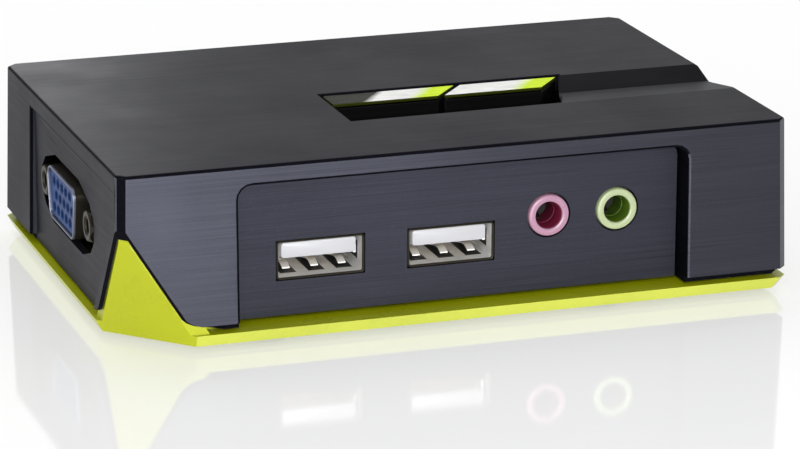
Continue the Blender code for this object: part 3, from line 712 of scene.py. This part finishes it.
def usb_a_tongue(use, place):
    """Four-way tongue, whose underside is at the middle of the socket."""
    width, height = USB_A_TONGUE
    outlines = []
    for inset, depth in ((0.25, 0.9), (0.06, 0.98), (0.0, 1.15), (0.0, 12.7)):
        flat = rectangle(width - 2 * inset, height - 2 * inset, 0.45 - inset)
        outlines.append(([(u, v + height / 2) for u, v in flat], depth))
    bm = bmesh.new()
    loft(bm, outlines, 0, True, True)
    for u in (-3.5, -1.0, 1.0, 3.5):
        bar(bm, (u - 0.5, u + 0.5), (-0.06, 0.1), (1.6, 11.0), 1)
    node = f"{use}_usb_tongue"
    replacement(node, finish_mesh(f"{node}_finished", bm, place), "white_plastic", "gold")


def usb_a_sockets():
    for use in USB_A_USES:
        place = mouth(f"{use}_usb_shell", FRONT)
        usb_a_shell(use, place)
        usb_a_tongue(use, place)


def usb_b(letter):
    """Square socket: eased shell and tongue, four contacts and two side springs."""
    shell, tongue = f"pc_{letter}_usb_shell", f"pc_{letter}_usb_tongue"
    softened(shell, 0.18)
    softened(tongue, 0.15)
    place = mouth(shell, REAR)
    low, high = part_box(tongue)
    tongue_at = place[1] - high[1] / MM
    half_height = (high[2] - low[2]) / 2 / MM
    bm = bmesh.new()
    for side in (-1, 1):
        for u in (-1.25, 1.25):
            reach = sorted((side * (half_height - 0.05), side * (half_height + 0.07)))
            bar(bm, (u - 0.5, u + 0.5), reach, (tongue_at + 0.5, tongue_at + 7.5), 0)
        leaf(bm, sorted((side * 4.15, side * 4.0)), ((1.2, -1.0), (3.0, -1.0), (6.5, -1.0)), 2.0, 1)
    mesh = finish_mesh(f"pc_{letter}_usb_contacts", bm, place, REAR)
    add_piece(f"pc_{letter}_usb_contacts", mesh, shell, "gold", "steel")


def vga_shell(name, place, facing):
    """Rolled D shell on a flange. Its back end is hidden in the flange and the blue insert."""
    outside = ((-0.45, 5.95), (-0.2, 5.75), (0.0, 5.3), (0.0, 0.4))
    inside = ((0.0, 0.4), (0.05, 0.12), (0.2, 0.0), (0.34, 0.1), (VGA_WALL, 0.4), (VGA_WALL, 3.6))
    bm = bmesh.new()
    loft(bm, [(d_outline(inset), depth) for inset, depth in outside], 1, start=True)
    loft(bm, [(d_outline(inset), depth) for inset, depth in inside], 0, end=True)
    width, height = VGA_FLANGE
    eased = rectangle(width - 0.2, height - 0.2, 1.4)
    whole = rectangle(width, height, 1.5)
    loft(bm, [(eased, VGA_FLANGE_FACE), (whole, VGA_FLANGE_FACE + 0.1), (whole, VGA_FLANGE_BACK)],
         1, True, True)
    node = f"{name}_shell"
    mesh = finish_mesh(f"{node}_finished", bm, place, facing)
    replacement(node, mesh, "nickel", "dark_steel")


def vga_contacts(name, place, facing):
    """Three rows of five countersunk holes in painted shade, the middle row set off by half a pitch."""
    bm = bmesh.new()
    for row in (-1, 0, 1):
        shift = VGA_PIN_PITCH / 4 if row == 0 else -VGA_PIN_PITCH / 4
        for column in range(-2, 3):
            centre = (column * VGA_PIN_PITCH + shift, row * VGA_ROW_PITCH)
            lathe(bm, ((0.84, 0.45), (0.82, 0.36), (0.74, 0.35), (0.58, 0.7), (0.55, 2.6),
                       (0.84, 2.6), (0.84, 0.45)), 0, 16, centre)
            lathe(bm, ((0.3, 1.2), (0.3, 2.6)), 1, 12, centre, start=True, end=True)
    mesh = finish_mesh(f"{name}_contacts", bm, place, facing)
    add_piece(f"{name}_contacts", mesh, f"{name}_insulator", "blue_hole_shade", "gold")


def vga_post(node, place, facing):
    """Hexagon post with a turned chamfer and a threaded hole."""
    wide, steps = VGA_POST_RADIUS, 24
    narrow = wide * math.cos(math.pi / 6)
    mouth_radius = narrow - 0.08
    bm = bmesh.new()
    back = [bm.verts.new((u, VGA_POST_BACK, v)) for u, v in hexagon(wide, steps)]
    rim = []
    for u, v in hexagon(wide, steps):
        outward = (math.hypot(u, v) - narrow) / (wide - narrow)
        rim.append(bm.verts.new((u, VGA_POST_FACE + 0.05 + 0.6 * outward, v)))
    front = [bm.verts.new((u, VGA_POST_FACE, v)) for u, v in circle(mouth_radius, steps)]
    bm.faces.new(back)
    for near, far in ((back, rim), (rim, front)):
        for index in range(steps):
            bm.faces.new((near[index - 1], near[index], far[index], far[index - 1]))

    crest, root = VGA_THREAD_RADIUS
    profile = [(mouth_radius, VGA_POST_FACE), (1.5, VGA_POST_FACE), (1.42, VGA_POST_FACE + 0.1)]
    for turn in range(9):
        depth = VGA_POST_FACE + 0.3 + VGA_THREAD_PITCH * turn
        profile += [(crest, depth), (root, depth + VGA_THREAD_PITCH / 2)]
    lathe(bm, profile, 1, steps, end=True)
    mesh = finish_mesh(f"{node}_finished", bm, place, facing, 25.0)
    replacement(node, mesh, "dark_steel", "dark_steel")


def vga(name, facing):
    """Display socket: shell, blue insert with its contacts, and a threaded post at either side."""
    place = mouth(f"{name}_shell", facing)
    vga_shell(name, place, facing)
    softened(f"{name}_insulator", 0.1)
    vga_contacts(name, place, facing)
    turn = Matrix.Rotation(math.radians(facing), 3, "Z")
    for number, side in enumerate((-1, 1), start=1):
        spot = Vector(place) + turn @ Vector((side * VGA_POST_SPACING / 2, 0.0, 0.0))
        vga_post(f"{name}_jackscrew_{number}", spot, facing)


# Fasteners and feet ----------------------------------------------------------------------------


def standing_mesh(node, bm):
    """Makes a mesh of a drawing, with its depth running up from the bottom of the node's box."""
    low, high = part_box(node)
    place = ((low[0] + high[0]) / 2 / MM, (low[1] + high[1]) / 2 / MM, low[2] / MM)
    bm.transform(Matrix.Rotation(math.radians(90.0), 4, "X"))
    return finish_mesh(f"{node}_finished", bm, place)


def radius_and_height(node):
    """Of an upright round node."""
    low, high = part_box(node)
    return (high[0] - low[0]) / 2 / MM, (high[2] - low[2]) / MM


def foot(node):
    """Rubber foot with a rounded rim and a ring groove in its sole."""
    radius, height = radius_and_height(node)
    bm = bmesh.new()
    profile = ((0.4, 0.3), (radius * 0.4, 0.3), (radius * 0.45, 0.03), (radius * 0.5, 0.0),
               (radius * 0.82, 0.0), (radius * 0.94, 0.1), (radius, 0.35), (radius, height))
    lathe(bm, profile, 0, 40, start=True, end=True)
    replacement(node, standing_mesh(node, bm), "rubber")


def cross(arm_length, arm_width):
    """The outline of a cross recess, counter-clockwise from its arm along +u."""
    half = arm_width / 2
    points = []
    for arm in range(4):
        turn = Matrix.Rotation(arm * math.pi / 2, 2)
        for corner in ((half, -half), (arm_length, -half), (arm_length, half)):
            points.append(tuple(turn @ Vector(corner)))
    return points


def case_screw(node):
    """Self-tapping screw with a rounded head and a cross recess."""
    radius, length = radius_and_height(node)
    recess = cross(1.2, 0.56)
    bm = bmesh.new()
    crown = [bm.verts.new((u, 0.0, v)) for u, v in circle(radius * 0.8, 32)]
    opening = [bm.verts.new((u, 0.0, v)) for u, v in recess]
    bottom = [bm.verts.new((u * 0.55, 0.6, v * 0.55)) for u, v in recess]
    edges = []
    for ring in (crown, opening):
        edges += [bm.edges.new((ring[index - 1], ring[index])) for index in range(len(ring))]
    bmesh.ops.triangle_fill(bm, use_beauty=True, use_dissolve=True, edges=edges)
    for index in range(len(opening)):
        bm.faces.new((opening[index - 1], opening[index], bottom[index], bottom[index - 1]))
    bm.faces.new(bottom)

    root, crest = SCREW_THREAD_RADIUS
    profile = [(radius * 0.8, 0.0), (radius * 0.94, 0.08), (radius, 0.25), (radius, 0.8),
               (crest, 0.8)]
    for turn in range(int((length - 2.0) / SCREW_THREAD_PITCH)):
        depth = 1.2 + SCREW_THREAD_PITCH * turn
        profile += [(root, depth), (crest, depth + SCREW_THREAD_PITCH / 2)]
    lathe(bm, profile, 0, 32, end=True)
    replacement(node, standing_mesh(node, bm), "steel")


def finish_pieces():
    """Makes every finished piece."""
    casing()
    tray()
    front_panel()
    softened("rear_panel", 0.12)
    softened("right_panel", 0.12)
    for letter, cap_look in (("a", "lens_lime"), ("b", "lens_lime_b")):
        key_lens(letter, cap_look)
        softened(f"select_key_{letter}", 0.1)
        usb_b(letter)
    jacks()
    usb_a_sockets()
    vga("console_vga", LEFT)
    vga("pc_a_vga", REAR)
    vga("pc_b_vga", REAR)
    for node in SLOT_OF:
        if node.startswith("rubber_foot"):
            foot(node)
        elif node.startswith("case_screw"):
            case_screw(node)


# Studio ------------------------------------------------------------------------------------


def floor():
    """A wide glossy white floor, which glows a little so that contact shadows stay light."""
    side = 6.0
    corners = [(-side, -side, 0.0), (side, -side, 0.0), (side, side, 0.0), (-side, side, 0.0)]
    mesh = bpy.data.meshes.new("floor")
    mesh.from_pydata(corners, [], [(0, 1, 2, 3)])
    obj = bpy.data.objects.new("floor", mesh)
    bpy.context.scene.collection.objects.link(obj)
    white = (1.0, 1.0, 1.0, 1.0)
    look = Shader("floor_look", (0.38, 0.38, 0.38, 1.0), 0.06, IOR=1.7, Emission_Color=white,
                  Emission_Strength=0.48)
    mesh.materials.append(look.material)


def area_light(name, place, target, size, power):
    """A rectangular light, with its place, target and size in metres and its power in watts."""
    data = bpy.data.lights.new(name, "AREA")
    data.shape = "RECTANGLE"
    data.size, data.size_y = size
    data.energy = power
    obj = bpy.data.objects.new(name, data)
    obj.location = place
    obj.rotation_euler = (Vector(target) - Vector(place)).to_track_quat("-Z", "Y").to_euler()
    obj.visible_camera = False
    bpy.context.scene.collection.objects.link(obj)
    return obj


def fade_edges(light, border):
    """Dims a rectangular light towards its rim, so that its mirror image has no hard outline."""
    light.data.use_nodes = True
    tree = light.data.node_tree
    split = tree.nodes.new("ShaderNodeSeparateXYZ")
    tree.links.new(tree.nodes.new("ShaderNodeNewGeometry").outputs["Parametric"], split.inputs[0])
    faded = tree.nodes.new("ShaderNodeMath")
    faded.operation = "MULTIPLY"
    for index, axis in enumerate("XY"):
        inward = tree.nodes.new("ShaderNodeMath")
        inward.operation = "PINGPONG"
        inward.inputs[1].default_value = 0.5
        tree.links.new(split.outputs[axis], inward.inputs[0])
        ramp = tree.nodes.new("ShaderNodeMapRange")
        ramp.interpolation_type = "SMOOTHSTEP"
        ramp.inputs["From Max"].default_value = border
        tree.links.new(inward.outputs[0], ramp.inputs["Value"])
        tree.links.new(ramp.outputs["Result"], faded.inputs[index])
    tree.links.new(faded.outputs[0], tree.nodes["Emission"].inputs["Strength"])


def light_only(light, piece):
    """Keeps a light to one piece, so that the floor doesn't mirror it."""
    receivers = bpy.data.collections.new(f"{light.name}_receivers")
    receivers.objects.link(piece)
    light.light_linking.receiver_collection = receivers


def world(horizon, zenith):
    """A pale backdrop that fades to a darker ceiling between 22 and 42 degrees up."""
    made = bpy.data.worlds.new("studio")
    made.use_nodes = True
    tree = made.node_tree
    place = tree.nodes.new("ShaderNodeTexCoord")
    split = tree.nodes.new("ShaderNodeSeparateXYZ")
    tree.links.new(place.outputs["Generated"], split.inputs[0])
    fade = tree.nodes.new("ShaderNodeMapRange")
    fade.inputs["From Min"].default_value = math.sin(math.radians(22.0))
    fade.inputs["From Max"].default_value = math.sin(math.radians(42.0))
    fade.inputs["To Min"].default_value = horizon
    fade.inputs["To Max"].default_value = zenith
    tree.links.new(split.outputs["Z"], fade.inputs["Value"])
    background = tree.nodes["Background"]
    background.inputs["Color"].default_value = (1.0, 1.0, 1.0, 1.0)
    tree.links.new(fade.outputs["Result"], background.inputs["Strength"])
    bpy.context.scene.world = made


def lights():
    """Soft light from above and from the front, and small lights that pick out edges."""
    top = area_light("top_light", place=(0.08, 0.42, 1.0), target=(0.08, 0.42, 0.0),
                     size=(2.1, 2.1), power=27.0)
    fade_edges(top, 0.35)
    area_light("front_light", place=(0.0, -0.24, 0.025), target=(-0.02, -0.03, 0.02),
               size=(0.08, 0.03), power=0.34)
    rear = area_light("rear_light", place=(-0.015, 0.22, 0.07), target=(-0.03, 0.0, 0.02),
                      size=(0.06, 0.05), power=0.035)
    light_only(rear, bpy.data.objects["upper_casing_finished"])
    area_light("left_light", place=(-0.35, -0.02, 0.05), target=(-0.05, 0.0, 0.005),
               size=(0.15, 0.06), power=0.22)
    fill = area_light("front_fill", place=(-0.2, -0.55, 0.3), target=(0.0, -0.03, 0.01),
                      size=(0.6, 0.4), power=6.4)
    fade_edges(fill, 0.5)


def camera():
    """The camera, turned from its yaw, tilt and roll."""
    yaw, down, roll = (math.radians(angle) for angle in
                       (CAMERA_YAW_DEG, CAMERA_DOWN_DEG, CAMERA_ROLL_DEG))
    ahead = Vector((math.sin(yaw), math.cos(yaw), 0.0))
    forward = math.cos(down) * ahead + Vector((0.0, 0.0, -math.sin(down)))
    level = Vector((math.cos(yaw), -math.sin(yaw), 0.0))
    upright = level.cross(forward)
    right = math.cos(roll) * level + math.sin(roll) * upright
    up = math.cos(roll) * upright - math.sin(roll) * level
    turn = Matrix((right, up, -forward)).transposed()
    data = bpy.data.cameras.new("camera")
    data.lens = CAMERA_LENS
    data.sensor_width = 36.0
    obj = bpy.data.objects.new("camera", data)
    obj.matrix_world = Matrix.Translation(CAMERA_AT) @ turn.to_4x4()
    bpy.context.scene.collection.objects.link(obj)
    bpy.context.scene.camera = obj


dress_nodes()
finish_pieces()
floor()
world(horizon=0.8, zenith=0.04)
lights()
camera()
bpy.context.scene.view_settings.view_transform = "Standard"
